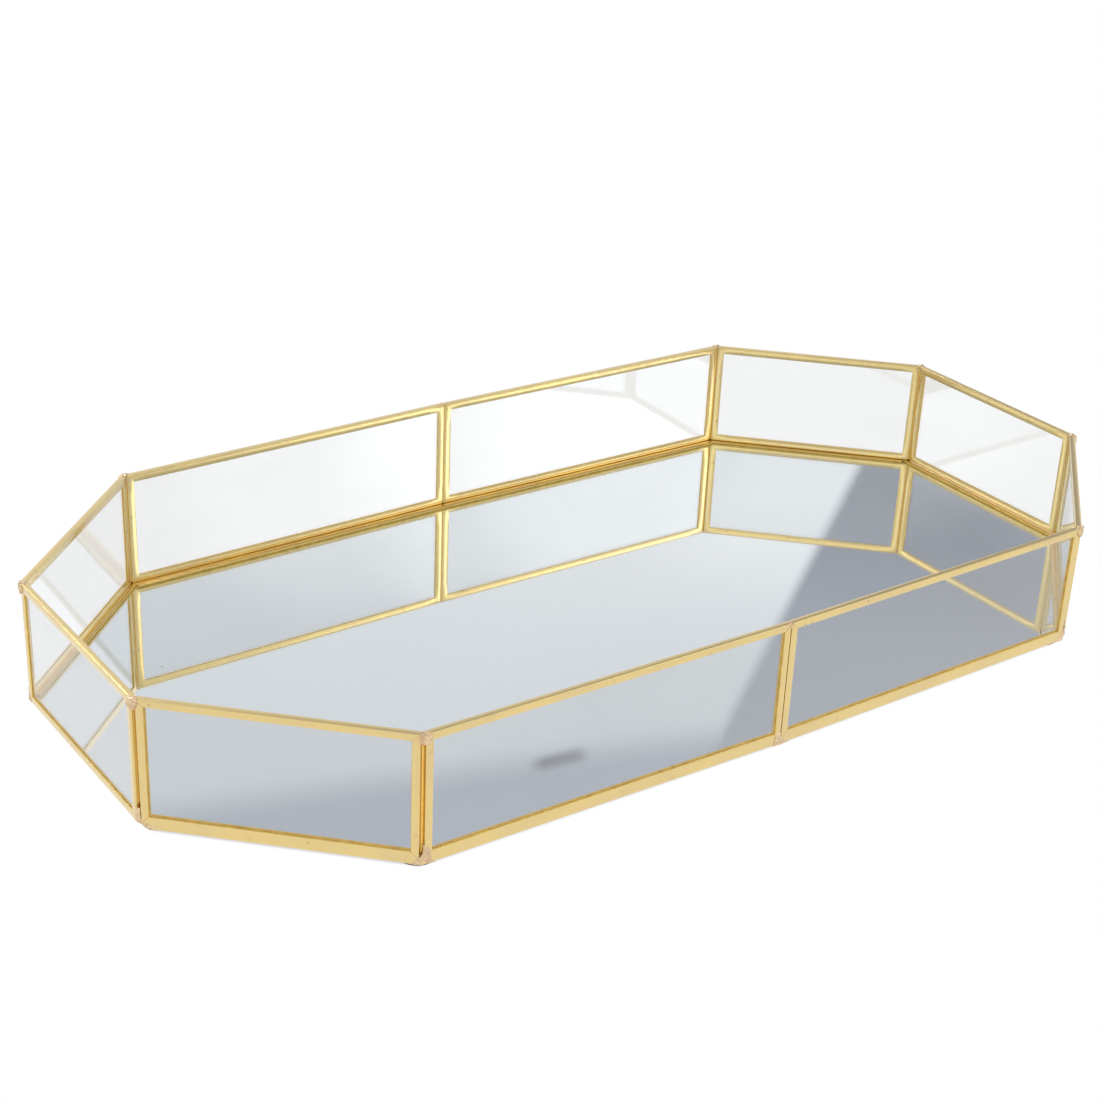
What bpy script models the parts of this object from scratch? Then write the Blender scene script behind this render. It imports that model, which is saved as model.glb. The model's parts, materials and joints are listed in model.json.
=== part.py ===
"""Octagonal dresser tray: framed glass walls soldered together round a framed mirror base.

Metres, +Z up, +X along the length. The origin is at the centre of the underside of the feet.
"""

import math

import bmesh
import bpy
from mathutils import Matrix, Vector

# Plan of the inner wall faces. The long sides bow out a little at their middle joints.
HALF_LENGTH = 0.2000
HALF_WIDTH = 0.1032
LONG_SIDE_HALF = 0.1377
END_SIDE_HALF = 0.0425
MIDDLE_BOW = 0.0021

# Folded brass channel round every pane.
CHANNEL_THICK = 0.00225
CHANNEL_LEG = 0.0025
SHEET = 0.00028
FOLD_RADIUS = 0.00045
FOLD_STEPS = 3
WALL_HEIGHT = 0.04375
PANE_CLEARANCE = 0.0001
JOINT_GAP = 0.0002

# Folded brass channel round the mirror.
BASE_THICK = 0.0021
BASE_LONG_LEG = 0.0050
BASE_CHAMFER_LEG = 0.0036
BASE_END_LEG = 0.0020
BASE_SIDE_RECESS = 0.0003
BASE_END_RECESS = 0.0020
MITRE_GAP = 0.0001
SEAT_GAP = 0.0001
BACKING_THICK = 0.0001

# Rubber feet under the four long-side corners.
FOOT_RADIUS = 0.0065
FOOT_THICK = 0.0019
FOOT_EDGE = 0.0003
FOOT_INSET = 0.0096
FOOT_SIDES = 36

# Solder joints, as half sizes across the joint, along the walls and upwards.
SOLDER_CLEARANCE = 0.0001
TOP_SOLDER = (0.00145, 0.0022, 0.0032)
TOP_SOLDER_OUT = 0.0016
TOP_SOLDER_DROP = 0.0022
LOW_SOLDER = (0.0015, 0.0040, 0.0031)
LOW_SOLDER_OUT = 0.0019
LOW_SOLDER_RISE = 0.0009
SOLDER_RINGS = (16, 8)

BASE_BOTTOM = FOOT_THICK + SEAT_GAP
BASE_TOP = BASE_BOTTOM + BASE_THICK
WALL_BOTTOM = BASE_TOP + SEAT_GAP
WALL_TOP = WALL_BOTTOM + WALL_HEIGHT
UP = Vector((0.0, 0.0, 1.0))

# Corners anticlockwise from above, then the wall that starts at each corner.
CORNERS = (
    ("end_left_front", -HALF_LENGTH, -END_SIDE_HALF),
    ("front_left", -LONG_SIDE_HALF, -HALF_WIDTH),
    ("front_middle", 0.0, -HALF_WIDTH - MIDDLE_BOW),
    ("front_right", LONG_SIDE_HALF, -HALF_WIDTH),
    ("end_right_front", HALF_LENGTH, -END_SIDE_HALF),
    ("end_right_back", HALF_LENGTH, END_SIDE_HALF),
    ("back_right", LONG_SIDE_HALF, HALF_WIDTH),
    ("back_middle", 0.0, HALF_WIDTH + MIDDLE_BOW),
    ("back_left", -LONG_SIDE_HALF, HALF_WIDTH),
    ("end_left_back", -HALF_LENGTH, END_SIDE_HALF),
)
WALLS = (
    "chamfer_front_left",
    "front_left",
    "front_right",
    "chamfer_front_right",
    "end_right",
    "chamfer_back_right",
    "back_right",
    "back_left",
    "chamfer_back_left",
    "end_left",
)
# Base channel lengths as runs of corners: each long side is one length with a slight bend.
BASE_RUNS = (
    ("chamfer_front_left", (0, 1), BASE_CHAMFER_LEG),
    ("front", (1, 2, 3), BASE_LONG_LEG),
    ("chamfer_front_right", (3, 4), BASE_CHAMFER_LEG),
    ("end_right", (4, 5), BASE_END_LEG),
    ("chamfer_back_right", (5, 6), BASE_CHAMFER_LEG),
    ("back", (6, 7, 8), BASE_LONG_LEG),
    ("chamfer_back_left", (8, 9), BASE_CHAMFER_LEG),
    ("end_left", (9, 0), BASE_END_LEG),
)
FOOT_CORNERS = (1, 3, 6, 8)


def clear_scene():
    for old in list(bpy.data.objects):
        bpy.data.objects.remove(old, do_unlink=True)


def make_material(name, colour, roughness, metallic=0.0, transmission=0.0):
    material = bpy.data.materials.new(name)
    material.use_nodes = True
    shader = material.node_tree.nodes["Principled BSDF"]
    shader.inputs["Base Color"].default_value = (*colour, 1.0)
    shader.inputs["Roughness"].default_value = roughness
    shader.inputs["Metallic"].default_value = metallic
    shader.inputs["Transmission Weight"].default_value = transmission
    material.diffuse_color = (*colour, 1.0)
    return material


def add_object(name, shape, material):
    """Turns a bmesh into a named object."""
    bmesh.ops.recalc_face_normals(shape, faces=shape.faces[:])
    mesh = bpy.data.meshes.new(name)
    shape.to_mesh(mesh)
    shape.free()
    mesh.materials.append(material)
    thing = bpy.data.objects.new(name, mesh)
    bpy.context.scene.collection.objects.link(thing)
    return thing


def inset_sides(outline, depths):
    """Corners of a convex anticlockwise outline with each side moved inwards by its depth."""
    count = len(outline)
    moved = []
    for here in range(count):
        before = (outline[here] - outline[here - 1]).normalized()
        after = (outline[(here + 1) % count] - outline[here]).normalized()
        turn = before.x * after.y - before.y * after.x
        shift = (after * depths[here - 1] - before * depths[here]) / turn
        moved.append(outline[here] + shift)
    return moved


def inset(outline, depth):
    """Corners of a convex anticlockwise outline with every side moved inwards by depth."""
    return inset_sides(outline, [depth] * len(outline))


def channel_profile(leg, thick):
    """Closed section of a folded channel as (depth from the outer edge, height) pairs."""
    def fold(radius, start, centre):
        turn = math.pi / 2 / FOLD_STEPS
        for step in range(FOLD_STEPS + 1):
            angle = start + turn * step
            yield (centre[0] + radius * math.cos(angle), centre[1] + radius * math.sin(angle))

    top = thick / 2
    section = [(leg, top - SHEET), (leg, top)]
    section += fold(FOLD_RADIUS, math.pi / 2, (FOLD_RADIUS, top - FOLD_RADIUS))
    section += fold(FOLD_RADIUS, math.pi, (FOLD_RADIUS, FOLD_RADIUS - top))
    section += [(leg, -top), (leg, SHEET - top), (SHEET, SHEET - top), (SHEET, top - SHEET)]
    return section


def skin(rings, closed):
    """Bridges equal rings of points into one closed body."""
    shape = bmesh.new()
    loops = [[shape.verts.new(point) for point in ring] for ring in rings]
    pairs = list(zip(loops, loops[1:]))
    if closed:
        pairs.append((loops[-1], loops[0]))
    else:
        shape.faces.new(loops[0])
        shape.faces.new(reversed(loops[-1]))
    for first, second in pairs:
        for step in range(len(first)):
            nearby = (step + 1) % len(first)
            shape.faces.new((first[step], first[nearby], second[nearby], second[step]))
    return shape


def wall_frame_of(start, end):
    """Matrix from a wall's own axes (along, up, outwards) to the tray's."""
    along = (end - start).normalized().to_3d()
    outwards = along.cross(UP)
    axes = Matrix((along, UP, outwards)).transposed().to_4x4()
    return Matrix.Translation((start.x, start.y, WALL_BOTTOM)) @ axes


def wall_outline(length):
    """Outer rectangle of a wall frame, clear of its neighbours at both ends."""
    side = JOINT_GAP / 2
    return [
        Vector((side, 0.0)),
        Vector((length - side, 0.0)),
        Vector((length - side, WALL_HEIGHT)),
        Vector((side, WALL_HEIGHT)),
    ]


def make_wall_frame(name, place, length, brass):
    """Mitred channel round one pane, open towards the glass."""
    outline = wall_outline(length)
    middle = CHANNEL_THICK / 2
    section = channel_profile(CHANNEL_LEG, CHANNEL_THICK)
    insets = [inset(outline, depth) for depth, _ in section]
    rings = []
    for corner in range(len(outline)):
        ring = []
        for points, (_, across) in zip(insets, section):
            ring.append(Vector((points[corner].x, points[corner].y, middle + across)))
        rings.append(ring)
    shape = skin(rings, closed=True)
    shape.transform(place)
    add_object("frame_" + name, shape, brass)


def make_slab(name, outline, bottom, top, material, place=None):
    """Flat plate with the given outline, from bottom to top along the third axis."""
    rings = []
    for level in (bottom, top):
        rings.append([Vector((point.x, point.y, level)) for point in outline])
    shape = skin(rings, closed=False)
    if place is not None:
        shape.transform(place)
    return add_object(name, shape, material)


def make_pane(name, place, length, glass):
    margin = SHEET + PANE_CLEARANCE
    outline = inset(wall_outline(length), margin)
    make_slab("glass_" + name, outline, margin, CHANNEL_THICK - margin, glass, place)


def make_base_run(name, run, leg, outline, brass):
    """One length of the base channel, mitred at both ends, open towards the mirror."""
    section = channel_profile(leg, BASE_THICK)
    insets = [inset(outline, depth) for depth, _ in section]
    middle = BASE_BOTTOM + BASE_THICK / 2
    first, last = run[0], run[-1]
    trims = {
        first: (outline[run[1]] - outline[first]).normalized() * MITRE_GAP,
        last: (outline[run[-2]] - outline[last]).normalized() * MITRE_GAP,
    }
    rings = []
    for corner in run:
        trim = trims.get(corner, Vector((0.0, 0.0)))
        ring = []
        for points, (_, height) in zip(insets, section):
            point = points[corner] + trim
            ring.append(Vector((point.x, point.y, middle + height)))
        rings.append(ring)
    add_object("base_channel_" + name, skin(rings, closed=False), brass)


def make_mirror(outline, mirror, backing):
    """Mirror plate held in the base channel, with its painted backing sheet."""
    clearance = PANE_CLEARANCE
    plate = inset(outline, SHEET + clearance)
    backing_bottom = BASE_BOTTOM + SHEET + clearance / 2
    backing_top = backing_bottom + BACKING_THICK
    make_slab("mirror_backing", plate, backing_bottom, backing_top, backing)
    glass_bottom = backing_top + clearance / 2
    glass_top = BASE_TOP - SHEET - clearance
    make_slab("mirror_plate", plate, glass_bottom, glass_top, mirror)


def make_foot(name, corner, outward, rubber):
    """Flat round pad with softened edges, set in from its corner."""
    centre = corner - outward * FOOT_INSET
    rings = []
    for radius, level in (
        (FOOT_RADIUS - FOOT_EDGE, 0.0),
        (FOOT_RADIUS, FOOT_EDGE),
        (FOOT_RADIUS, FOOT_THICK - FOOT_EDGE),
        (FOOT_RADIUS - FOOT_EDGE, FOOT_THICK),
    ):
        ring = []
        for step in range(FOOT_SIDES):
            angle = math.tau * step / FOOT_SIDES
            offset = Vector((math.cos(angle), math.sin(angle))) * radius
            ring.append(Vector((centre.x + offset.x, centre.y + offset.y, level)))
        rings.append(ring)
    add_object("foot_" + name, skin(rings, closed=False), rubber)


def hide_cutter(cutter):
    cutter.hide_render = True
    cutter.display_type = "WIRE"
    return cutter


def make_solder(name, corner, outward, half_size, out, height, cutters, solder):
    """Blob of solder at a corner, cut clear of the channels that it bridges."""
    shape = bmesh.new()
    around, stacked = SOLDER_RINGS
    bmesh.ops.create_uvsphere(shape, u_segments=around, v_segments=stacked, radius=1.0)
    sideways = UP.cross(outward.to_3d())
    axes = Matrix((outward.to_3d(), sideways, UP)).transposed().to_4x4()
    centre = corner + outward * out
    place = Matrix.Translation((centre.x, centre.y, height))
    shape.transform(place @ axes @ Matrix.Diagonal((*half_size, 1.0)))
    blob = add_object(name, shape, solder)
    for cutter in cutters:
        cut = blob.modifiers.new("clear_of_" + cutter.name, "BOOLEAN")
        cut.operation = "DIFFERENCE"
        cut.solver = "EXACT"
        cut.object = cutter


def build():
    clear_scene()
    brass = make_material("polished_brass", (0.80, 0.60, 0.26), 0.28, metallic=1.0)
    glass = make_material("clear_glass", (0.95, 0.98, 0.97), 0.02, transmission=1.0)
    mirror = make_material("mirror_glass", (0.86, 0.89, 0.91), 0.03, metallic=1.0)
    backing = make_material("mirror_paint", (0.25, 0.26, 0.28), 0.7)
    solder = make_material("gilt_solder", (0.78, 0.58, 0.34), 0.35, metallic=1.0)
    rubber = make_material("dark_rubber", (0.03, 0.025, 0.022), 0.75)

    plan = [Vector((x, y)) for _, x, y in CORNERS]
    outer = inset(plan, -CHANNEL_THICK)
    grown = SOLDER_CLEARANCE

    wall_cutters = []
    for index, name in enumerate(WALLS):
        start = plan[index]
        end = plan[(index + 1) % len(plan)]
        length = (end - start).length
        place = wall_frame_of(start, end)
        make_wall_frame(name, place, length, brass)
        make_pane(name, place, length, glass)
        envelope = inset(wall_outline(length), -grown)
        cutter = make_slab("cut_" + name, envelope, -grown, CHANNEL_THICK + grown, brass, place)
        wall_cutters.append(hide_cutter(cutter))

    recesses = [BASE_END_RECESS if name.startswith("end") else BASE_SIDE_RECESS for name in WALLS]
    base = inset_sides(outer, recesses)
    for name, run, leg in BASE_RUNS:
        make_base_run(name, run, leg, base, brass)
    make_mirror(base, mirror, backing)
    floor_cutter = make_slab(
        "cut_base", inset(base, -grown), BASE_BOTTOM - grown, BASE_TOP + grown, brass
    )
    hide_cutter(floor_cutter)

    top_height = WALL_TOP - TOP_SOLDER_DROP
    low_height = WALL_BOTTOM + LOW_SOLDER_RISE
    for index, (name, _, _) in enumerate(CORNERS):
        outward = (outer[index] - plan[index]).normalized()
        walls = [wall_cutters[index - 1], wall_cutters[index]]
        make_solder(
            "solder_top_" + name, plan[index], outward, TOP_SOLDER, TOP_SOLDER_OUT,
            top_height, walls, solder,
        )
        make_solder(
            "solder_low_" + name, plan[index], outward, LOW_SOLDER, LOW_SOLDER_OUT,
            low_height, [*walls, floor_cutter], solder,
        )

    for index in FOOT_CORNERS:
        outward = (outer[index] - plan[index]).normalized()
        make_foot(CORNERS[index][0], outer[index], outward, rubber)


build()
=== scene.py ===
"""Looks for the octagonal dresser tray: brass channel, glass, mirror, solder and feet."""

import json
import math

import bmesh
import bpy
from mathutils import Matrix, Vector, noise

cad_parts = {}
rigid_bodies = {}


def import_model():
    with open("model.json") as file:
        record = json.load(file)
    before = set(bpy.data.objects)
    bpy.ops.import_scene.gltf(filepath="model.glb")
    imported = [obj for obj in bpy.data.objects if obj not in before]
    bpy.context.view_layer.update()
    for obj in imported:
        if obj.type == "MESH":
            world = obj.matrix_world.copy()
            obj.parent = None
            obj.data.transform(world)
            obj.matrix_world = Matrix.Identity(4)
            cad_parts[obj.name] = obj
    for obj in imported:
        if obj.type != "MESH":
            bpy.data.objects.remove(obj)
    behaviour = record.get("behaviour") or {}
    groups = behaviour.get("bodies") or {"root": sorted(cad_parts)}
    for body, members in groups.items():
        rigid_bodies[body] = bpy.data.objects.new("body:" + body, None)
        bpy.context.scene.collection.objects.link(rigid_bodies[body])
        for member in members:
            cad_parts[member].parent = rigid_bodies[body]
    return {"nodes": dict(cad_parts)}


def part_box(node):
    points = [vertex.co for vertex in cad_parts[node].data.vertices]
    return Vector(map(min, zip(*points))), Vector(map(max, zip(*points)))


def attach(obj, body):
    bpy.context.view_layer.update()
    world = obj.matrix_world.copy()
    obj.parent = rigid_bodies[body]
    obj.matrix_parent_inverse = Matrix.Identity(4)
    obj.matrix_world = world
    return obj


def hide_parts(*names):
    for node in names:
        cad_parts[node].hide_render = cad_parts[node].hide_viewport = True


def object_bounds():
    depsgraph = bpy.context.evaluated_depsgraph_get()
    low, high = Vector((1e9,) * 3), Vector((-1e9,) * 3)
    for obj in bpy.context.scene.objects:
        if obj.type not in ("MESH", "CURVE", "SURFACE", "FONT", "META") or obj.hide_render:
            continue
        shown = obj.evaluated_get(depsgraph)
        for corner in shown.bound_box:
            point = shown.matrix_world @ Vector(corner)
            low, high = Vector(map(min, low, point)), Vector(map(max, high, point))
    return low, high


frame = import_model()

cad_low, cad_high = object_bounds()
nodes = frame["nodes"]

# Camera, round the middle of the tray.
CAMERA_AZIMUTH = -35.69
CAMERA_ELEVATION = 26.26
CAMERA_ROLL = 2.54
CAMERA_DISTANCE = 0.7665
CAMERA_TARGET = Vector((-0.0108, 0.0140, 0.0250))
CAMERA_LENS = 67.97
SENSOR = 36.0

# Brass channel, in metres: the sheet, its legs and its folds. The rim has crisper folds than
# the rest, and the tight ones are where a wall frame sits on the base channel.
SHEET = 0.00028
OUTER_LEG = 0.0025
INNER_LEG = 0.0029
CHAMFER_LEG = 0.0036
FOLD_RADIUS = 0.00045
CROWN_RADIUS = 0.00024
TIGHT_RADIUS = 0.00012
LIP_RADIUS = 0.00010
FOLD_STEPS = 5
LIP_STEPS = 2
INSIDE_FACES = 4
MITRE_LINE = 0.00010
SEAT_CLOSING = 0.00004
FRONT_MIDDLE = 0.001

# Hand-made unevenness of the channel, and how far the heat of a joint marks it. The vector noise
# behind the wave is given no seed, so channel points differ by about 0.01 mm from run to run.
RING_SPACING = 0.006
WAVE = 0.00001
WAVE_SCALE = 45.0
HEAT_REACH = 0.0045

# Flux line in the groove of a seam: its near and far depth, its overlap with the channels, and
# how far it stops short of their ends.
SEAM_DEPTH = (0.00020, 0.00048)
SEAM_OVERLAP = 0.00006
SEAM_DIP = 0.00060

# Solder at a corner and at the middle of a long side. Of the foot patch: how round it turns
# the corner, its half width, how far it climbs the wall, and how deep it fills the groove. Of
# the top bead: its half sizes outwards, along and up, and how far across the wall it sits.
CORNER_SOLDER = {
    "rounding": 0.0014, "half_width": 0.0043, "climb": 0.0050, "fill": 0.0010,
    "bead": Vector((0.00140, 0.0021, 0.0021)), "bead_out": 0.66,
}
MIDDLE_SOLDER = {
    "rounding": 0.0006, "half_width": 0.0040, "climb": 0.0026, "fill": 0.0,
    "bead": Vector((0.00115, 0.0010, 0.0013)), "bead_out": 0.60,
}

# Foot patches: grid, half width at the tip, reach below the base channel, depths of the back
# and of the thin edges, the heights over which the patch steps from the base channel out to the
# wall, the shares of its height over which it swells at the foot and fades at the tip, how
# ragged its ends are, and how fine its lumps and its grit are.
SMEAR_ROWS = 34
SMEAR_COLUMNS = 40
SMEAR_TIP = 0.0012
SMEAR_BELOW = 0.0001
SMEAR_BACK = 0.00018
SMEAR_SINK = 0.00005
FILL_HALF_WIDTH = 0.0007
STEP_START = 0.0008
STEP_HEIGHT = 0.0009
SMEAR_SWELL = 0.05
SMEAR_FADE = 0.30
SMEAR_RAGGED = 0.0004
LUMP_SCALE = 480
GRIT_SCALE = 1300

# Top beads: how far the middle sits below the rim as a share of the half height, and where the
# shrink slit runs along the bead, how wide it is and how deep, as shares of the half sizes.
BEAD_SETTLE = 0.82
SLIT_PLACE = -0.42
SLIT_WIDTH = 0.09
SLIT_DEPTH = 0.45

# How proud the foot patches stand, and how far each one leans along the wall as it climbs.
SOLDER_PEAK = 0.00055
LEANS = (-0.0006, 0.0016, -0.0012, 0.0010, -0.0010, 0.0012, 0.0010, 0.0006, -0.0012, 0.0008)

# Feet: rolled edge, and a shallow dish underneath given as shares of the radius.
FOOT_ROLL = 0.0004
FOOT_ROLL_STEPS = 5
FOOT_DISH = 0.00012
FOOT_DISH_REACH = (0.55, 0.72)
FOOT_SIDES = 72

# Bright panels of the studio: bearing, elevation, half width, level.
PANEL_EDGE = 1.5
PANELS = (
    (-134.5, 21.5, 7.0, 1.55), (-51.5, 20.0, 4.5, 1.6), (-45.5, 20.0, 4.0, 2.3),
    (149.5, 24.0, 3.5, 1.7), (141.5, 22.5, 6.5, 3.1), (71.0, 26.0, 13.0, 1.35),
)

# Soft lights: bearing, elevation, distance, size, power.
LIGHTS = {
    "key_softbox": (0.0, 43.0, 1.6, 0.30, 4.0),
    "fill_softbox": (160.0, 62.0, 1.9, 0.6, 5.0),
}

# Tones of the studio: the low and high wall, its paler stripe, the grey flag above and beside
# the bright wall, the unlit room behind the camera, and the clamp that the mirror shows.
WHITE = (1.0, 1.0, 1.0)
LOW_WALL = (0.89, 0.89, 0.895)
HIGH_WALL = (0.72, 0.74, 0.755)
PALE_STRIPE = (1.05, 1.06, 1.07)
TOP_FLAG = (0.50, 0.525, 0.575)
SIDE_FLAG = (0.335, 0.345, 0.385)
HIGH_SIDE_FLAG = (0.45, 0.465, 0.505)
UNLIT_ROOM = (0.30, 0.29, 0.29)
CLAMP = (0.12, 0.125, 0.13)
SHADE = (0.34, 0.34, 0.36)

# Floor: its gap below the feet, then depths inside the base channel and how dark it is there.
FLOOR_GAP = 0.0002
FLOOR_SHADE = ((-5.0, 0.0), (0.0020, 0.0), (0.0030, 0.4), (0.0042, 1.0), (0.0060, 1.0))

STARTUP_OBJECTS = ("Cube", "Light", "Camera")
UP = Vector((0.0, 0.0, 1.0))


# ---------------------------------------------------------------- node helpers


class Nodes:
    """Short ways to add and link the nodes of one tree."""

    def __init__(self, tree):
        self.tree = tree

    def node(self, kind, **values):
        made = self.tree.nodes.new(kind)
        for key, value in values.items():
            setattr(made, key, value)
        return made

    def put(self, value, socket):
        if isinstance(value, bpy.types.NodeSocket):
            self.tree.links.new(value, socket)
        else:
            socket.default_value = value

    def math(self, operation, *values):
        made = self.node("ShaderNodeMath", operation=operation)
        for value, socket in zip(values, made.inputs):
            self.put(value, socket)
        return made.outputs[0]

    def place(self, kind="Object"):
        return self.node("ShaderNodeTexCoord").outputs[kind]

    def stretched(self, vector, scale):
        made = self.node("ShaderNodeMapping")
        self.put(vector, made.inputs["Vector"])
        made.inputs["Scale"].default_value = scale
        return made.outputs[0]

    def noise(self, vector, scale, detail=3.0, rough=0.55):
        made = self.node("ShaderNodeTexNoise")
        self.put(vector, made.inputs["Vector"])
        made.inputs["Scale"].default_value = scale
        made.inputs["Detail"].default_value = detail
        made.inputs["Roughness"].default_value = rough
        return made.outputs["Fac"]

    def spots(self, vector, scale, size, softness):
        """One inside scattered round spots and nought between them."""
        made = self.node("ShaderNodeTexVoronoi")
        self.put(vector, made.inputs["Vector"])
        made.inputs["Scale"].default_value = scale
        return self.ramp(made.outputs["Distance"], size, size - softness)

    def ramp(self, value, low, high, to_low=0.0, to_high=1.0):
        made = self.node("ShaderNodeMapRange", interpolation_type="SMOOTHSTEP")
        self.put(value, made.inputs["Value"])
        flipped = low > high
        made.inputs["From Min"].default_value = high if flipped else low
        made.inputs["From Max"].default_value = low if flipped else high
        made.inputs["To Min"].default_value = to_high if flipped else to_low
        made.inputs["To Max"].default_value = to_low if flipped else to_high
        return made.outputs["Result"]

    def blend(self, share, first, second):
        made = self.node("ShaderNodeMix", data_type="RGBA")
        self.put(share, made.inputs[0])
        for value, socket in ((first, made.inputs[6]), (second, made.inputs[7])):
            if isinstance(value, tuple):
                value = (*value, 1.0)
            self.put(value, socket)
        return made.outputs[2]

    def bump(self, height, depth, strength=1.0, normal=None):
        made = self.node("ShaderNodeBump")
        self.put(height, made.inputs["Height"])
        made.inputs["Distance"].default_value = depth
        made.inputs["Strength"].default_value = strength
        if normal is not None:
            self.put(normal, made.inputs["Normal"])
        return made.outputs["Normal"]


class Shading(Nodes):
    """A material and its nodes."""

    def __init__(self, name):
        self.material = bpy.data.materials.new(name)
        self.material.use_nodes = True
        super().__init__(self.material.node_tree)
        self.shader = self.tree.nodes["Principled BSDF"]
        self.output = self.tree.nodes["Material Output"]

    def set(self, **values):
        for key, value in values.items():
            self.put(value, self.shader.inputs[key.replace("_", " ")])


# -------------------------------------------------------------------- materials


def brass_material():
    """Folded brass sheet: grain along its length, stains, pits and heat marks at the joints."""
    look = Shading("channel_brass")
    place = look.place()
    along = look.place("UV")
    grain = look.noise(look.stretched(along, (60.0, 9000.0, 1.0)), 1.0, 4.0, 0.6)
    streaks = look.noise(look.stretched(along, (14.0, 2200.0, 1.0)), 1.0, 2.0)
    cloud = look.noise(place, 38.0, 3.0)
    stain = look.ramp(look.noise(place, 160.0, 4.0, 0.65), 0.60, 0.74)
    pits = look.spots(place, 330.0, 0.16, 0.08)
    rare = look.ramp(look.noise(place, 45.0, 1.0), 0.56, 0.66)
    pits = look.math("MULTIPLY", pits, rare)
    heat = look.node("ShaderNodeAttribute", attribute_name="heat").outputs["Fac"]
    heat = look.math("MULTIPLY", heat, look.ramp(look.noise(place, 420.0, 3.0), 0.35, 0.62))
    tone = look.blend(look.ramp(cloud, 0.35, 0.65), (0.775, 0.582, 0.218), (0.715, 0.535, 0.228))
    tone = look.blend(look.math("MULTIPLY", streaks, 0.35), tone, (0.83, 0.66, 0.34))
    tone = look.blend(look.math("MULTIPLY", stain, 0.35), tone, (0.56, 0.36, 0.13))
    tone = look.blend(look.math("MULTIPLY", heat, 0.55), tone, (0.66, 0.44, 0.27))
    tone = look.blend(look.math("MULTIPLY", pits, 0.7), tone, (0.28, 0.17, 0.08))
    rough = look.math("MULTIPLY_ADD", grain, 0.16, 0.13)
    rough = look.math("MULTIPLY_ADD", heat, 0.12, rough)
    fine = look.bump(grain, 0.000006)
    worn = look.bump(look.math("SUBTRACT", cloud, look.math("MULTIPLY", pits, 0.4)), 0.00004, 1.0, fine)
    look.set(Base_Color=tone, Metallic=1.0, Roughness=rough, Normal=worn)
    look.set(Coat_Weight=0.8, Coat_Roughness=0.06)
    return look.material


def lining_material():
    """Yellow bedding cement inside the channels, round the edges of the glass, with a painted glow that
    keeps it bright where the glass and the channel would leave it dark.
    """
    look = Shading("channel_lining")
    place = look.place()
    grime = look.noise(place, 300.0, 4.0, 0.6)
    tone = look.blend(look.ramp(grime, 0.35, 0.70), (0.95, 0.66, 0.15), (0.74, 0.49, 0.10))
    look.set(Base_Color=tone, Roughness=0.70, Normal=look.bump(grime, 0.00006))
    # Painted glow: the lining lights itself, standing in for light that would reach it through the glass.
    look.set(Emission_Color=tone, Emission_Strength=0.28)
    return look.material


def flux_material():
    """Amber flux at the bottom of the grooves, with painted shade along one side for the dark slit of the
    groove, and a painted glow.
    """
    look = Shading("amber_flux")
    place = look.place()
    crust = look.noise(place, 300.0, 3.0, 0.5)
    # Painted shade: a dark line along one side of the bead, standing in for the shadowed slit of the
    # groove.
    crack = look.node("ShaderNodeAttribute", attribute_name="crack").outputs["Fac"]
    crack = look.ramp(look.math("ADD", crack, look.math("MULTIPLY", crust, 0.25)), 0.86, 1.0)
    tone = look.blend(look.ramp(crust, 0.38, 0.62), (0.80, 0.47, 0.08), (0.86, 0.56, 0.13))
    tone = look.blend(crack, tone, (0.10, 0.045, 0.015))
    look.set(Base_Color=tone, Roughness=0.45, Normal=look.bump(crust, 0.00008))
    # Painted glow: the flux lights itself so its amber shows deep in the groove.
    look.set(Emission_Color=tone, Emission_Strength=0.36)
    return look.material


def solder_material():
    """Gilded solder: pinker and duller than the channel, lumpy, with flux stains."""
    look = Shading("gilt_solder")
    place = look.place()
    lumps = look.noise(place, 520.0, 4.0, 0.6)
    patches = look.noise(place, 240.0, 2.0)
    flux = look.ramp(look.noise(place, 700.0, 3.0), 0.58, 0.70)
    pits = look.spots(place, 900.0, 0.22, 0.10)
    tone = look.blend(look.ramp(patches, 0.38, 0.62), (0.66, 0.47, 0.29), (0.78, 0.59, 0.36))
    tone = look.blend(look.math("MULTIPLY", flux, 0.5), tone, (0.42, 0.27, 0.14))
    tone = look.blend(look.math("MULTIPLY", pits, 0.5), tone, (0.34, 0.22, 0.13))
    rough = look.ramp(patches, 0.30, 0.70, 0.30, 0.12)
    surface = look.bump(look.math("SUBTRACT", lumps, look.math("MULTIPLY", pits, 0.3)), 0.0005)
    look.set(Base_Color=tone, Metallic=1.0, Roughness=rough, Normal=surface)
    return look.material


def glass_material():
    """Clear float glass, with a little drawn waviness and faint wiping marks."""
    look = Shading("clear_pane_glass")
    place = look.place()
    wipes = look.noise(look.stretched(place, (18.0, 18.0, 60.0)), 1.0, 3.0)
    rough = look.ramp(wipes, 0.55, 0.80, 0.0, 0.035)
    wave = look.bump(look.noise(place, 9.0, 1.0), 0.0004, 0.35)
    tint = look.blend(look.ramp(wipes, 0.45, 0.75), (0.868, 0.872, 0.872), (0.85, 0.853, 0.853))
    look.set(Base_Color=tint, Roughness=rough, Normal=wave)
    look.set(IOR=1.5, Transmission_Weight=1.0)
    return look.material


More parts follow.
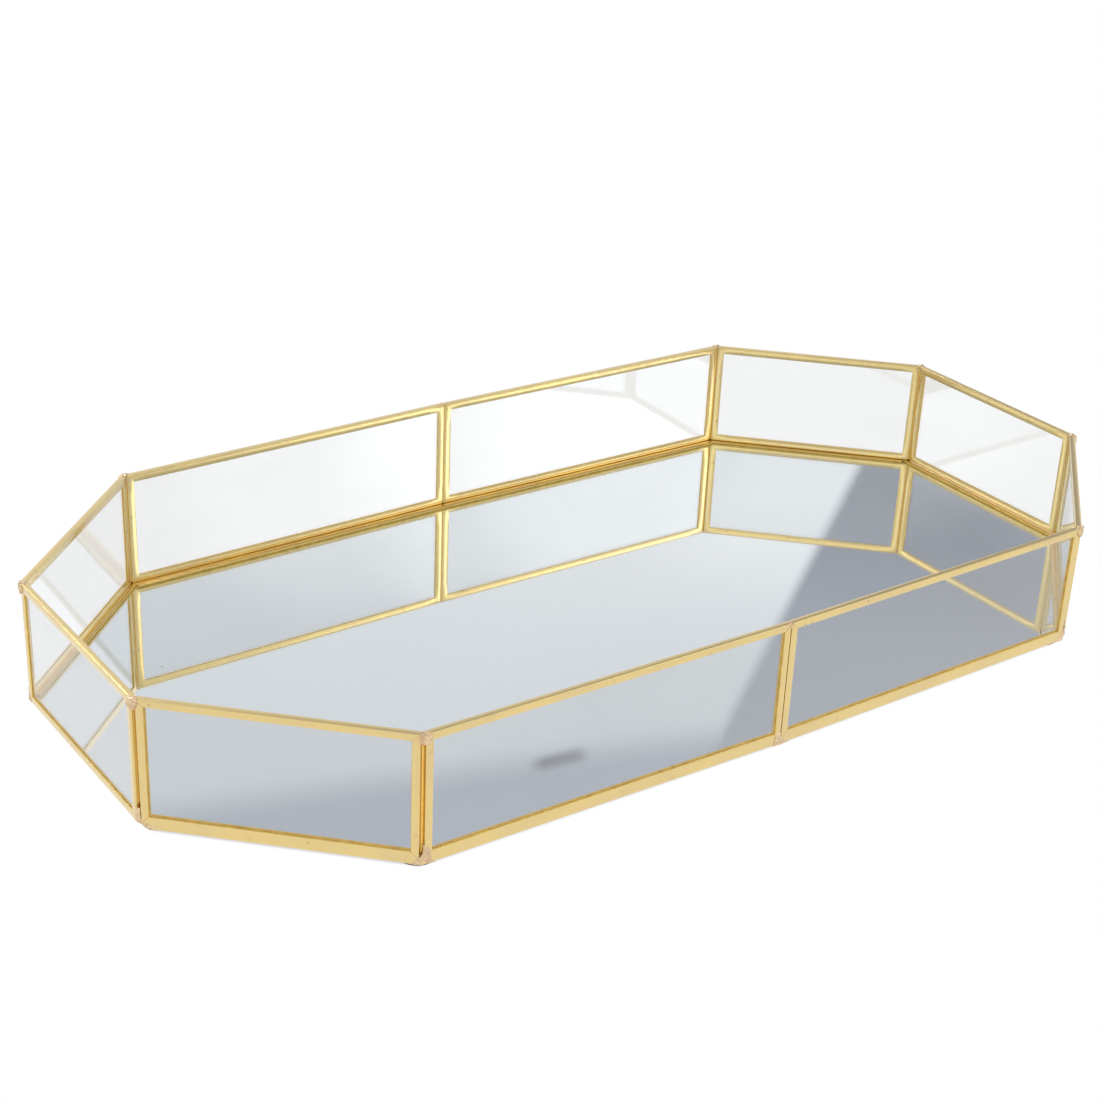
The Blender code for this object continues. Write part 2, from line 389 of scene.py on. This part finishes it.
def mirror_material():
    """Glass plate silvered on its underside, with dust specks lying on top."""
    look = Shading("silvered_plate")
    place = look.place()
    height = look.node("ShaderNodeSeparateXYZ")
    look.put(look.place("Generated"), height.inputs[0])
    silver = look.ramp(height.outputs["Z"], 0.10, 0.05)
    wipes = look.noise(look.stretched(place, (30.0, 12.0, 1.0)), 1.0, 4.0)
    cloud = look.noise(place, 7.0, 2.0)
    tint = look.blend(look.ramp(cloud, 0.3, 0.7), (0.930, 0.950, 0.962), (0.915, 0.938, 0.952))
    rough = look.ramp(wipes, 0.55, 0.85, 0.0, 0.03)
    look.set(Base_Color=tint, Metallic=silver, Roughness=rough, IOR=1.5, Transmission_Weight=1.0)
    cells = look.node("ShaderNodeTexVoronoi")
    look.put(place, cells.inputs["Vector"])
    cells.inputs["Scale"].default_value = 130.0
    chosen = look.node("ShaderNodeSeparateColor")
    look.put(cells.outputs["Color"], chosen.inputs[0])
    speck = look.math("MULTIPLY", look.ramp(cells.outputs["Distance"], 0.052, 0.030),
                      look.math("GREATER_THAN", chosen.outputs[0], 0.965))
    speck = look.math("MULTIPLY", speck, look.math("GREATER_THAN", height.outputs["Z"], 0.5))
    dust = look.node("ShaderNodeBsdfPrincipled")
    dust.inputs["Base Color"].default_value = (0.92, 0.92, 0.90, 1.0)
    dust.inputs["Roughness"].default_value = 0.9
    mixed = look.node("ShaderNodeMixShader")
    look.put(look.math("MULTIPLY", speck, 0.8), mixed.inputs[0])
    look.put(look.shader.outputs[0], mixed.inputs[1])
    look.put(dust.outputs[0], mixed.inputs[2])
    look.put(mixed.outputs[0], look.output.inputs["Surface"])
    return look.material


def backing_material():
    """Rolled grey paint over the silvering, with scuffs."""
    look = Shading("backing_paint")
    place = look.place()
    roll = look.noise(look.stretched(place, (20.0, 300.0, 20.0)), 1.0, 4.0)
    scuff = look.ramp(look.noise(place, 55.0, 4.0, 0.7), 0.60, 0.72)
    tone = look.blend(look.ramp(roll, 0.3, 0.7), (0.20, 0.21, 0.23), (0.25, 0.26, 0.28))
    tone = look.blend(look.math("MULTIPLY", scuff, 0.5), tone, (0.36, 0.36, 0.37))
    surface = look.bump(roll, 0.00008)
    look.set(Base_Color=tone, Roughness=look.ramp(roll, 0.2, 0.8, 0.55, 0.75), Normal=surface)
    return look.material


def rubber_material():
    """Matt dark rubber, finely pebbled, with a little dust."""
    look = Shading("foot_rubber_skin")
    place = look.place()
    pebbles = look.noise(place, 2400.0, 2.0)
    dust = look.ramp(look.noise(place, 300.0, 4.0), 0.55, 0.72)
    tone = look.blend(look.math("MULTIPLY", dust, 0.35), (0.022, 0.017, 0.015), (0.10, 0.09, 0.08))
    look.set(Base_Color=tone, Roughness=look.ramp(dust, 0.0, 1.0, 0.62, 0.85),
             Normal=look.bump(pebbles, 0.00006))
    return look.material


# --------------------------------------------------------------- mesh helpers


def link_object(name, data):
    made = bpy.data.objects.new(name, data)
    bpy.context.scene.collection.objects.link(made)
    return made


def link_mesh(name, shape, *materials):
    """Turns a bmesh into an object in the scene."""
    mesh = bpy.data.meshes.new(name)
    shape.to_mesh(mesh)
    shape.free()
    for material in materials:
        mesh.materials.append(material)
    return link_object(name, mesh)


def finish_piece(name, shape, materials, slot_name, *replaced, smooth_angle=35.0):
    """Turns a bmesh into a piece that rides on the tray and stands for CAD nodes."""
    bmesh.ops.recalc_face_normals(shape, faces=shape.faces[:])
    piece = link_mesh(name, shape, *materials)
    piece.data.shade_smooth()
    piece.data.set_sharp_from_angle(angle=math.radians(smooth_angle))
    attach(piece, "root")
    if replaced:
        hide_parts(*replaced)
    return piece


def inset_sides(outline, depths):
    """Corners of a convex anticlockwise outline with each side moved inwards by its depth."""
    count = len(outline)
    moved = []
    for here in range(count):
        before = (outline[here] - outline[here - 1]).normalized()
        after = (outline[(here + 1) % count] - outline[here]).normalized()
        turn = before.x * after.y - before.y * after.x
        shift = (after * depths[here - 1] - before * depths[here]) / turn
        moved.append(outline[here] + shift)
    return moved


def inset(outline, depth):
    return inset_sides(outline, [depth] * len(outline))


def arc(centre, radius, start, steps):
    """Points along a quarter turn, anticlockwise from an angle in degrees."""
    points = []
    for step in range(steps + 1):
        angle = math.radians(start + 90 * step / steps)
        points.append((centre[0] + radius * math.cos(angle), centre[1] + radius * math.sin(angle)))
    return points


def channel_section(legs, thick, folds):
    """Closed section of a folded channel as (depth, height) pairs, upper leg first."""
    top = thick / 2
    lip = LIP_RADIUS
    section = arc((legs[0] - lip, top - lip), lip, 0, LIP_STEPS)
    section += arc((folds[0], top - folds[0]), folds[0], 90, FOLD_STEPS)
    section += arc((folds[1], folds[1] - top), folds[1], 180, FOLD_STEPS)
    section += arc((legs[1] - lip, lip - top), lip, 270, LIP_STEPS)
    section += [(legs[1], SHEET - top), (SHEET, SHEET - top), (SHEET, top - SHEET), (legs[0], top - SHEET)]
    return section


def add_bar(shape, section, starts, ends, lift, place, seed, hot_spots):
    """Adds one channel length between two mitres, with lengthwise texture coordinates."""
    uv_layer = shape.loops.layers.uv.verify()
    heat_layer = shape.verts.layers.float.get("heat") or shape.verts.layers.float.new("heat")
    along = (ends[0] - starts[0]).normalized() * MITRE_LINE / 2
    length = (ends[0] - starts[0]).length
    count = max(2, round(length / RING_SPACING)) + 1
    walked = [0.0]
    for here in range(len(section)):
        first, second = section[here], section[(here + 1) % len(section)]
        walked.append(walked[-1] + math.dist(first, second))
    rings = []
    for step in range(count):
        share = step / (count - 1)
        ring = []
        for index, (_, height) in enumerate(section):
            flat = (starts[index] + along).lerp(ends[index] - along, share)
            point = place @ Vector((flat.x, flat.y, lift + height))
            if 0 < step < count - 1:
                point += noise.noise_vector(point * WAVE_SCALE + Vector((seed, 0.0, 0.0))) * WAVE
            vert = shape.verts.new(point)
            nearest = min((point - spot).length for spot in hot_spots)
            vert[heat_layer] = math.exp(-((nearest / HEAT_REACH) ** 2))
            ring.append(vert)
        rings.append(ring)
    shape.faces.new(rings[0])
    shape.faces.new(reversed(rings[-1]))
    for step in range(count - 1):
        reach = (length * step / (count - 1) + seed, length * (step + 1) / (count - 1) + seed)
        for index in range(len(section)):
            other = (index + 1) % len(section)
            corners = (
                (rings[step][index], reach[0], walked[index]),
                (rings[step][other], reach[0], walked[index + 1]),
                (rings[step + 1][other], reach[1], walked[index + 1]),
                (rings[step + 1][index], reach[1], walked[index]),
            )
            face = shape.faces.new([corner[0] for corner in corners])
            face.material_index = int(index >= len(section) - INSIDE_FACES)
            for loop, (_, u, v) in zip(face.loops, corners):
                loop[uv_layer].uv = (u, v)


# ------------------------------------------------------------ plan of the tray


class Wall:
    """One framed pane, read from its CAD nodes."""

    def __init__(self, name):
        self.name = name
        low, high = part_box("frame_" + name)
        self.bottom, self.top = low.z, high.z
        pane_low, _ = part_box("glass_" + name)
        margin = pane_low.z - low.z
        plan = {(round(v.co.x, 6), round(v.co.y, 6)) for v in nodes["glass_" + name].data.vertices}
        plan = [Vector(point) for point in plan]
        middle = sum(plan, Vector((0.0, 0.0))) / len(plan)
        far = max(plan, key=lambda point: (point - middle).length)
        sides = sorted((point for point in plan if point is not far), key=lambda p: (p - far).length)
        self.along = (sides[1] - far).normalized()
        self.outward = Vector((self.along.y, -self.along.x))
        if self.outward.dot(middle) < 0:
            self.along, self.outward = -self.along, -self.outward
        self.length = (sides[1] - far).length + 2 * margin
        self.thick = (sides[0] - far).length + 2 * margin
        self.start = middle - self.along * self.length / 2 - self.outward * self.thick / 2
        self.end = self.start + self.along * self.length
        axes = Matrix((self.along.to_3d(), UP, self.outward.to_3d())).transposed().to_4x4()
        self.place = Matrix.Translation((self.start.x, self.start.y, self.bottom)) @ axes


WALL_ORDER = (
    "chamfer_front_left", "front_left", "front_right", "chamfer_front_right", "end_right",
    "chamfer_back_right", "back_right", "back_left", "chamfer_back_left", "end_left",
)
CORNER_ORDER = (
    "end_left_front", "front_left", "front_middle", "front_right", "end_right_front",
    "end_right_back", "back_right", "back_middle", "back_left", "end_left_back",
)
BASE_RUNS = (
    ("chamfer_front_left", (0, 1)), ("front", (1, 2, 3)), ("chamfer_front_right", (3, 4)),
    ("end_right", (4, 5)), ("chamfer_back_right", (5, 6)), ("back", (6, 7, 8)),
    ("chamfer_back_left", (8, 9)), ("end_left", (9, 0)),
)

walls = [Wall(name) for name in WALL_ORDER]
wall_thick = walls[0].thick
wall_bottom = walls[0].bottom
wall_top = walls[0].top
end_low, end_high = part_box("base_channel_end_left")
front_low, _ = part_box("base_channel_front")
base_bottom, base_top = end_low.z, end_high.z

inner_plan = [(walls[i - 1].end + walls[i].start) / 2 for i in range(len(walls))]
outer_plan = inset(inner_plan, -wall_thick)
outward = [(outer - inner).normalized() for outer, inner in zip(outer_plan, inner_plan)]
side_recess = front_low.y - min(point.y for point in outer_plan)
end_recess = end_low.x - min(point.x for point in outer_plan)
base_plan = inset_sides(
    outer_plan, [end_recess if name.startswith("end") else side_recess for name in WALL_ORDER]
)


def joint_points():
    """Middles of the soldered seams, at their tops and feet."""
    points = []
    for inner, outer in zip(inner_plan, outer_plan):
        middle = (inner + outer) / 2
        points.append(Vector((middle.x, middle.y, wall_top)))
        points.append(Vector((middle.x, middle.y, wall_bottom)))
    return points


# ------------------------------------------------------------------ brass work


def build_wall_frames(brass, hot_spots):
    """Four mitred lengths round each pane; the lowest sits tight on the base channel.

    Each length has its own offset in the grain and the wave, so that no two look the same.
    """
    upright = channel_section((OUTER_LEG, INNER_LEG), wall_thick, (FOLD_RADIUS, FOLD_RADIUS))
    seated = channel_section((OUTER_LEG, INNER_LEG), wall_thick, (TIGHT_RADIUS, FOLD_RADIUS))
    crown = channel_section((OUTER_LEG, INNER_LEG), wall_thick, (CROWN_RADIUS, CROWN_RADIUS))
    for number, wall in enumerate(walls):
        height = wall.top - wall.bottom
        outline = [Vector(p) for p in ((0, 0), (wall.length, 0), (wall.length, height), (0, height))]
        outline[0].y = outline[1].y = -SEAT_CLOSING
        shape = bmesh.new()
        for side in range(4):
            section = (seated, upright, crown, upright)[side]
            insets = [inset(outline, depth) for depth, _ in section]
            starts = [points[side] for points in insets]
            ends = [points[(side + 1) % 4] for points in insets]
            seed = number * 1.7 + side * 0.37
            add_bar(shape, section, starts, ends, wall.thick / 2, wall.place, seed, hot_spots)
        finish_piece("channel_" + wall.name, shape, brass, "brass", "frame_" + wall.name)


def build_base_channel(brass, hot_spots):
    """The eight straight runs of channel round the mirror, mitred where they meet."""
    thick = base_top + SEAT_CLOSING - base_bottom
    middle = base_bottom + thick / 2
    front_leg = max(v.co.y for v in nodes["base_channel_front"].data.vertices
                    if abs(v.co.x) < FRONT_MIDDLE) - min(point.y for point in base_plan)
    legs = {"end": end_high.x - end_low.x, "chamfer": CHAMFER_LEG}
    for number, (name, run) in enumerate(BASE_RUNS):
        leg = legs.get(name.split("_")[0], front_leg)
        section = channel_section((leg, leg), thick, (TIGHT_RADIUS, FOLD_RADIUS))
        insets = [inset(base_plan, depth) for depth, _ in section]
        shape = bmesh.new()
        for here, there in zip(run, run[1:]):
            starts = [points[here] for points in insets]
            ends = [points[there] for points in insets]
            seed = 31.0 + number * 2.3 + here
            add_bar(shape, section, starts, ends, middle, Matrix.Identity(4), seed, hot_spots)
        finish_piece("rim_" + name, shape, brass, "brass", "base_channel_" + name)


def build_seam(index, flux):
    """Bead that closes the bottom of the groove between two upright channels."""
    inner = inner_plan[index]
    facing = outward[index]
    sideways = Vector((-facing.y, facing.x))
    before, after = walls[index - 1].outward, walls[index].outward
    slope = math.tan(before.angle(after) / 2)
    gap = (walls[index].start - walls[index - 1].end).length / 2
    shape = bmesh.new()
    painted_slit_shade_layer = shape.verts.layers.float.new("crack")
    rings = []
    for height in (wall_bottom + SEAM_DIP, wall_top - SEAM_DIP):
        ring = []
        for depth, side in ((0, -1), (0, 1), (1, 1), (1, -1)):
            reach = SEAM_DEPTH[depth]
            half = reach * slope + gap + SEAM_OVERLAP
            flat = inner + facing * reach + sideways * side * half
            vert = shape.verts.new((flat.x, flat.y, height))
            # One side of each bead is marked for the painted slit shade.
            vert[painted_slit_shade_layer] = (1 - side) / 2
            ring.append(vert)
        rings.append(ring)
    shape.faces.new(rings[0])
    shape.faces.new(reversed(rings[1]))
    for step in range(4):
        nearby = (step + 1) % 4
        shape.faces.new((rings[0][step], rings[0][nearby], rings[1][nearby], rings[1][step]))
    finish_piece("seam_" + CORNER_ORDER[index], shape, [flux], "solder")


# --------------------------------------------------------------------- solder


def solder_kind(name):
    return MIDDLE_SOLDER if name.endswith("middle") else CORNER_SOLDER


def edge_walk(corner, before, after, distance, rounding):
    """Point and outward normal at a distance along two edges that meet in a rounded corner."""
    reach = math.sqrt(distance * distance + rounding * rounding)
    point = corner + before * (reach - distance) / 2 + after * (reach + distance) / 2
    share = (1 + distance / reach) / 2
    normal_before = Vector((-before.y, before.x))
    normal_after = Vector((after.y, -after.x))
    return point, (normal_before * (1 - share) + normal_after * share).normalized()


def build_low_solder(index, solder):
    """Smear of solder over the foot of a seam and the base channel below it.

    The multiples of the index only keep one patch unlike the next.
    """
    name = CORNER_ORDER[index]
    kind = solder_kind(name)
    low = base_bottom - SMEAR_BELOW
    high = wall_bottom + kind["climb"]
    paths = []
    for plan in (base_plan, outer_plan):
        corner = plan[index]
        before = (plan[index - 1] - corner).normalized()
        after = (plan[(index + 1) % len(plan)] - corner).normalized()
        paths.append((corner, before, after))
    shape = bmesh.new()
    front, back = [], []
    for row in range(SMEAR_ROWS + 1):
        up = row / SMEAR_ROWS
        height = low + (high - low) * up
        on_wall = min(1.0, max(0.0, (height - base_top + STEP_START) / STEP_HEIGHT))
        front_row, back_row = [], []
        for column in range(SMEAR_COLUMNS + 1):
            side = 2 * column / SMEAR_COLUMNS - 1
            wobble = noise.noise(Vector((side * 1.3 + index * 5.1, up * 2.1, index * 3.7)))
            half = SMEAR_TIP + (kind["half_width"] - SMEAR_TIP) * (1 - up) ** 2.4
            distance = side * half * (1 + 0.3 * wobble) + LEANS[index] * min(1.0, up * 1.6)
            at_base, base_normal = edge_walk(*paths[0], distance, kind["rounding"])
            at_wall, wall_normal = edge_walk(*paths[1], distance, kind["rounding"])
            point = at_base.lerp(at_wall, on_wall)
            normal = base_normal.lerp(wall_normal, on_wall).normalized()
            edge = max(0.0, 1 - side * side) ** 0.5
            ends = min(1.0, up / SMEAR_SWELL) ** 0.5 * min(1.0, (1 - up) / SMEAR_FADE) ** 0.5
            coarse = Vector((distance * LUMP_SCALE, height * LUMP_SCALE, index * 9.3))
            gritty = Vector((distance * GRIT_SCALE, height * GRIT_SCALE, index * 2.9))
            lumps = 0.8 + 0.8 * noise.noise(coarse) + 0.3 * noise.noise(gritty)
            bulge = SOLDER_PEAK * edge * ends * max(0.15, lumps) - SMEAR_SINK
            lifted = height + SMEAR_RAGGED * wobble * (up - 0.5)
            place = point + normal * bulge
            front_row.append(shape.verts.new((place.x, place.y, lifted)))
            fill = kind["fill"] * math.exp(-((distance / FILL_HALF_WIDTH) ** 2))
            place = point - normal * (SMEAR_BACK + fill)
            back_row.append(shape.verts.new((place.x, place.y, lifted)))
        front.append(front_row)
        back.append(back_row)
    close_sheet(shape, front, back)
    finish_piece("solder_foot_" + name, shape, [solder], "solder", "solder_low_" + name, smooth_angle=60)


def close_sheet(shape, front, back):
    """Faces of a thick patch given as two grids of vertices."""
    rows, columns = len(front) - 1, len(front[0]) - 1
    for grid in (front, back):
        for row in range(rows):
            for column in range(columns):
                shape.faces.new((grid[row][column], grid[row][column + 1],
                                 grid[row + 1][column + 1], grid[row + 1][column]))
    rim = [(0, c) for c in range(columns)] + [(r, columns) for r in range(rows)]
    rim += [(rows, c) for c in range(columns, 0, -1)] + [(r, 0) for r in range(rows, 0, -1)]
    for here, there in zip(rim, rim[1:] + rim[:1]):
        shape.faces.new((front[here[0]][here[1]], front[there[0]][there[1]],
                         back[there[0]][there[1]], back[here[0]][here[1]]))


def build_top_solder(index, solder):
    """Bead of solder in the top of a seam, a little proud of the channels, with a shrink slit."""
    name = CORNER_ORDER[index]
    kind = solder_kind(name)
    facing = outward[index].to_3d()
    sideways = UP.cross(facing)
    half = kind["bead"]
    out = wall_thick * kind["bead_out"]
    centre = inner_plan[index].to_3d() + facing * out + sideways * LEANS[index] * 0.3
    centre.z = wall_top - half.z * BEAD_SETTLE
    shape = bmesh.new()
    bmesh.ops.create_icosphere(shape, subdivisions=5, radius=1.0)
    for vert in shape.verts:
        unit = vert.co.normalized()
        seed = unit * 1.3 + Vector((index * 4.3, 1.0, 0.0))
        swell = 1.0 + 0.22 * noise.noise(seed) + 0.08 * noise.noise(seed * 3.1)
        body = unit / max(abs(unit.x), abs(unit.y), abs(unit.z)) ** 0.45 * swell
        slit = math.exp(-(((unit.y - SLIT_PLACE) / SLIT_WIDTH) ** 2)) * max(0.0, unit.x)
        taper = 1.0 - 0.30 * max(0.0, -unit.z)
        vert.co = (centre + facing * body.x * half.x * taper * (1 - SLIT_DEPTH * slit)
                   + sideways * body.y * half.y * taper + UP * body.z * half.z)
    finish_piece("solder_bead_" + name, shape, [solder], "solder", "solder_top_" + name, smooth_angle=80)


# ----------------------------------------------------------------------- feet


def build_foot(name, rubber):
    """Round pressed foot with rolled edges and a shallow dish underneath."""
    low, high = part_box(name)
    centre = (low + high) / 2
    radius = (high.x - low.x) / 2
    thick = high.z - low.z
    roll = FOOT_ROLL
    dish, flat = (radius * share for share in FOOT_DISH_REACH)
    profile = [(0.0, FOOT_DISH), (dish, FOOT_DISH), (flat, 0.0)]
    profile += arc((radius - roll, roll), roll, -90, FOOT_ROLL_STEPS)
    profile += arc((radius - roll, thick - roll), roll, 0, FOOT_ROLL_STEPS)
    profile.append((0.0, thick))
    shape = bmesh.new()
    rings = []
    for reach, height in profile:
        if reach == 0.0:
            rings.append([shape.verts.new((centre.x, centre.y, low.z + height))])
            continue
        ring = []
        for step in range(FOOT_SIDES):
            angle = math.tau * step / FOOT_SIDES
            ring.append(shape.verts.new((centre.x + reach * math.cos(angle),
                                         centre.y + reach * math.sin(angle), low.z + height)))
        rings.append(ring)
    for first, second in zip(rings, rings[1:]):
        for step in range(FOOT_SIDES):
            nearby = (step + 1) % FOOT_SIDES
            if len(first) == 1:
                shape.faces.new((first[0], second[step], second[nearby]))
            elif len(second) == 1:
                shape.faces.new((first[step], first[nearby], second[0]))
            else:
                shape.faces.new((first[step], first[nearby], second[nearby], second[step]))
    finish_piece(name + "_pad", shape, [rubber], "foot_rubber", name)


# ------------------------------------------------------------------ the studio


def aim(azimuth, elevation):
    """Direction of a compass bearing, from +Y towards +X, at an elevation, in degrees."""
    turn, rise = math.radians(azimuth), math.radians(elevation)
    return Vector((math.sin(turn) * math.cos(rise), math.cos(turn) * math.cos(rise), math.sin(rise)))


def edge_plane(first, second, dark_side):
    """Normal of the plane through two directions, turned towards a third."""
    normal = first.cross(second).normalized()
    return normal if normal.dot(dark_side) > 0 else -normal


def build_world():
    """White studio with a bright wall, a grey flag beside and above it, and panels round about."""
    world = bpy.data.worlds.new("soft_studio")
    bpy.context.scene.world = world
    world.use_nodes = True
    look = Nodes(world.node_tree)
    direction = look.place("Generated")

    def beside(normal, low, high):
        dot = look.node("ShaderNodeVectorMath", operation="DOT_PRODUCT")
        look.put(direction, dot.inputs[0])
        dot.inputs[1].default_value = normal
        return look.ramp(dot.outputs["Value"], low, high)

    def round_about(middle, inner, rim):
        """One within the inner angle of a direction and nought beyond the rim, in degrees."""
        return beside(middle, math.cos(math.radians(rim)), math.cos(math.radians(inner)))

    # Soft boundaries between the bright wall and the grey flag, as planes through the tray.
    right_edge = edge_plane(aim(44.8, 23.3), aim(42.4, 28.9), aim(60.0, 25.0))
    top_edge = edge_plane(aim(26.0, 33.2), aim(42.0, 30.95), aim(36.0, 60.0))
    right_side = beside(right_edge, -0.0045, 0.0035)
    flag = look.math("MAXIMUM", right_side, beside(top_edge, -0.012, 0.009))
    flag = look.math("MULTIPLY", flag, round_about(aim(38.5, 30.5), 13.5, 18.0))
    rise = look.node("ShaderNodeSeparateXYZ")
    look.put(direction, rise.inputs[0])
    height = rise.outputs["Z"]
    wall = look.blend(look.ramp(height, 0.38, 0.56), LOW_WALL, HIGH_WALL)
    wall = look.blend(look.ramp(height, 0.02, 0.30), WHITE, wall)
    stripe = look.math("MULTIPLY", beside(right_edge, -0.085, -0.03), look.ramp(height, 0.47, 0.40))
    wall = look.blend(look.math("MULTIPLY", stripe, 0.6), wall, PALE_STRIPE)
    side_grey = look.blend(look.ramp(height, 0.39, 0.50), SIDE_FLAG, HIGH_SIDE_FLAG)
    grey = look.blend(right_side, TOP_FLAG, side_grey)
    sky = look.blend(flag, wall, grey)
    # Bright panels that the brass and the panes show, out of the mirror's direct view.
    for azimuth, elevation, reach, level in PANELS:
        panel = round_about(aim(azimuth, elevation), reach - PANEL_EDGE, reach + PANEL_EDGE)
        sky = look.blend(panel, sky, (level, level, level))
    # The unlit side of the room, behind the camera.
    room = look.math("MULTIPLY", beside(aim(-144.0, 0.0), 0.02, 0.30), look.ramp(height, 0.62, 0.82))
    sky = look.blend(look.math("MULTIPLY", room, 0.85), sky, UNLIT_ROOM)
    # A clamp on the backdrop, seen only in the mirror.
    middle = aim(36.3, 32.0)
    across = (aim(37.3, 31.75) - middle).normalized()
    over = middle.cross(across).normalized()
    clamp = round_about(middle, 1.1, 1.2)
    for axis, reach, soft in ((across, 0.0117, 0.005), (over, 0.0028, 0.0028)):
        offset = axis.dot(middle)
        for sign in (1, -1):
            inside = beside(axis * sign, offset * sign + reach + soft, offset * sign + reach - soft)
            clamp = look.math("MULTIPLY", clamp, inside)
    sky = look.blend(look.math("MULTIPLY", clamp, 0.6), sky, CLAMP)
    background = world.node_tree.nodes["Background"]
    background.inputs["Strength"].default_value = 1.0
    look.put(sky, background.inputs["Color"])


def build_floor():
    """Glowing white floor, clear from below, with a soft shade where the tray stands on it."""
    look = Shading("floor_white")
    shade = look.node("ShaderNodeAttribute", attribute_name="shade").outputs["Fac"]
    glow = look.node("ShaderNodeEmission")
    look.put(look.blend(shade, WHITE, SHADE), glow.inputs["Color"])
    clear = look.node("ShaderNodeBsdfTransparent")
    sided = look.node("ShaderNodeMixShader")
    look.put(look.node("ShaderNodeNewGeometry").outputs["Backfacing"], sided.inputs[0])
    look.put(glow.outputs[0], sided.inputs[1])
    look.put(clear.outputs[0], sided.inputs[2])
    look.put(sided.outputs[0], look.output.inputs["Surface"])
    shape = bmesh.new()
    layer = shape.verts.layers.float.new("shade")
    level = cad_low.z - FLOOR_GAP
    rings = []
    for depth, dark in FLOOR_SHADE:
        ring = []
        for point in inset(base_plan, depth):
            vert = shape.verts.new((point.x, point.y, level))
            vert[layer] = dark
            ring.append(vert)
        rings.append(ring)
    shape.faces.new(rings[-1])
    for first, second in zip(rings, rings[1:]):
        for step in range(len(first)):
            nearby = (step + 1) % len(first)
            shape.faces.new((first[step], first[nearby], second[nearby], second[step]))
    for face in shape.faces:
        face.normal_update()
        if face.normal.z < 0:
            face.normal_flip()
    floor = link_mesh("floor", shape, look.material)


def build_light(name, bearing, distance, size, power):
    """Round soft light that faces the tray."""
    light = bpy.data.lights.new(name, "AREA")
    light.shape = "DISK"
    light.size = size
    light.energy = power
    lamp = link_object(name, light)
    lamp.location = bearing * distance
    lamp.rotation_mode = "QUATERNION"
    lamp.rotation_quaternion = (-bearing).to_track_quat("-Z", "Y")


def build_camera():
    """Camera with its roll, looking down at the tray from the front left."""
    turn, rise = math.radians(CAMERA_AZIMUTH), math.radians(CAMERA_ELEVATION)
    back = Vector((math.sin(turn) * math.cos(rise), -math.cos(turn) * math.cos(rise), math.sin(rise)))
    right = UP.cross(back).normalized()
    above = back.cross(right)
    roll = math.radians(CAMERA_ROLL)
    rolled_right = right * math.cos(roll) + above * math.sin(roll)
    rolled_above = above * math.cos(roll) - right * math.sin(roll)
    data = bpy.data.cameras.new("camera")
    data.lens = CAMERA_LENS
    data.sensor_width = SENSOR
    data.clip_start = 0.01
    data.clip_end = 50.0
    camera = link_object("camera", data)
    axes = Matrix((rolled_right, rolled_above, back)).transposed().to_4x4()
    camera.matrix_world = Matrix.Translation(CAMERA_TARGET + back * CAMERA_DISTANCE) @ axes
    bpy.context.scene.camera = camera


def dress_node(name, material):
    """Gives a CAD node that stays in view its finished material."""
    mesh = nodes[name].data
    mesh.materials.clear()
    mesh.materials.append(material)


# ----------------------------------------------------------------------- build

for old in [made for made in bpy.data.objects if made.name in STARTUP_OBJECTS]:
    bpy.data.objects.remove(old, do_unlink=True)

build_camera()
build_world()
build_floor()
for light_name, (azimuth, elevation, *settings) in LIGHTS.items():
    build_light(light_name, aim(azimuth, elevation), *settings)
bpy.context.scene.view_settings.view_transform = "Standard"

brass = (brass_material(), lining_material())
solder = solder_material()
flux = flux_material()
rubber = rubber_material()
glass = glass_material()
spots = joint_points()
build_wall_frames(brass, spots)
build_base_channel(brass, spots)
for index in range(len(CORNER_ORDER)):
    build_seam(index, flux)
    build_top_solder(index, solder)
    build_low_solder(index, solder)
for foot in sorted(name for name in nodes if name.startswith("foot_")):
    build_foot(foot, rubber)
for wall in walls:
    dress_node("glass_" + wall.name, glass)
dress_node("mirror_plate", mirror_material())
dress_node("mirror_backing", backing_material())
